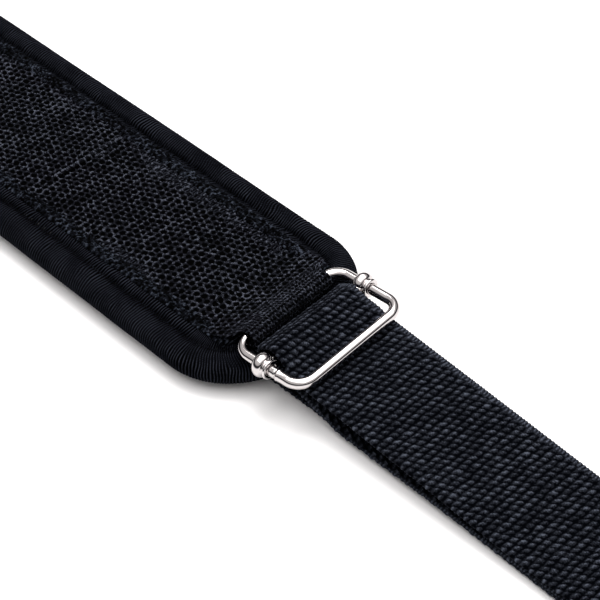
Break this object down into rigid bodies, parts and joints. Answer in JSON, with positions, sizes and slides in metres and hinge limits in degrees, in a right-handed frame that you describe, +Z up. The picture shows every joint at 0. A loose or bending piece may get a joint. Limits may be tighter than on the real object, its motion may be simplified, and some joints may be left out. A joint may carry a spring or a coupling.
{
  "type": "saxophone neck strap",
  "caption": "Padded saxophone neck strap laid flat: ribbed pad with woven overlay, wire slider, webbing loop and swivel snap hook.",
  "frame": {"origin": "centre of the pad on the surface that the strap lies on, on the lowest webbing run's underside", "axes": "+X along the strap from the pad to the hook, +Y across it, +Z up"},
  "size_m": [0.5824, 0.0703, 0.0172],
  "materials": {
    "jersey": "matte ribbed jersey",
    "foam": "closed-cell",
    "mesh": "woven mesh",
    "webbing": "woven polyamide",
    "thread": "twisted thread",
    "chrome": "polished",
    "spring_steel": "satin"
  },
  "bodies": {
    "strap": {"pad_foam_core": "foam", "pad_top_cover": "jersey", "pad_lining": "jersey", "pad_edge_binding": "jersey", "binding_stitching": "thread", "mesh_overlay": "mesh", "overlay_hem_near": "mesh", "overlay_hem_far": "mesh", "overlay_edge_stitching": "thread", "overlay_cross_seam": "thread", "overlay_end_loop": "mesh", "end_loop_stitching": "thread", "webbing_upper_run": "webbing", "webbing_slider_loop": "webbing", "webbing_tail": "webbing", "tail_end_hem": "webbing", "tail_stitching": "thread", "webbing_hook_fold": "webbing", "webbing_lower_run": "webbing", "webbing_left_fold": "webbing", "webbing_sewn_end": "webbing", "sewn_end_stitching": "thread"},
    "slider": {"slider_frame": "chrome"},
    "moving_bar": {"slider_bar": "chrome", "slider_bar_eyelet_near": "chrome", "slider_bar_eyelet_far": "chrome"},
    "eye": {"hook_eye": "chrome"},
    "hook": {"swivel_stud": "chrome", "hook_body": "chrome", "gate_pin": "spring_steel", "gate_spring": "spring_steel"},
    "gate": {"hook_gate": "chrome"}
  },
  "joints": [
    {"name": "slider_tilt", "type": "hinge", "parent": "strap", "child": "slider", "pos_m": [0.1472, 0, 0.0123], "axis": [0.0262, -0.9997, 0], "range_deg": [0, 35], "deforming": ["webbing_slider_loop"]},
    {"name": "moving_bar_slide", "type": "slide", "parent": "slider", "child": "moving_bar", "axis": [0.9966, 0.0261, 0.0785], "range_m": [0, 0.006], "deforming": ["webbing_slider_loop"]},
    {"name": "hook_eye_swing", "type": "hinge", "parent": "strap", "child": "eye", "pos_m": [0.338, 0, 0.0039], "axis": [0, -1, 0], "range_deg": [0, 90]},
    {"name": "hook_swivel", "type": "hinge", "parent": "eye", "child": "hook", "pos_m": [0.36, 0, 0.0039], "axis": [1, 0, 0], "continuous": true},
    {"name": "gate_open", "type": "hinge", "parent": "hook", "child": "gate", "pos_m": [0.38, -0.009, 0.0039], "axis": [0, 0, 1], "range_deg": [0, 28], "stiffness_Nm_per_rad": 0.01, "springref_deg": -17.19}
  ]
}
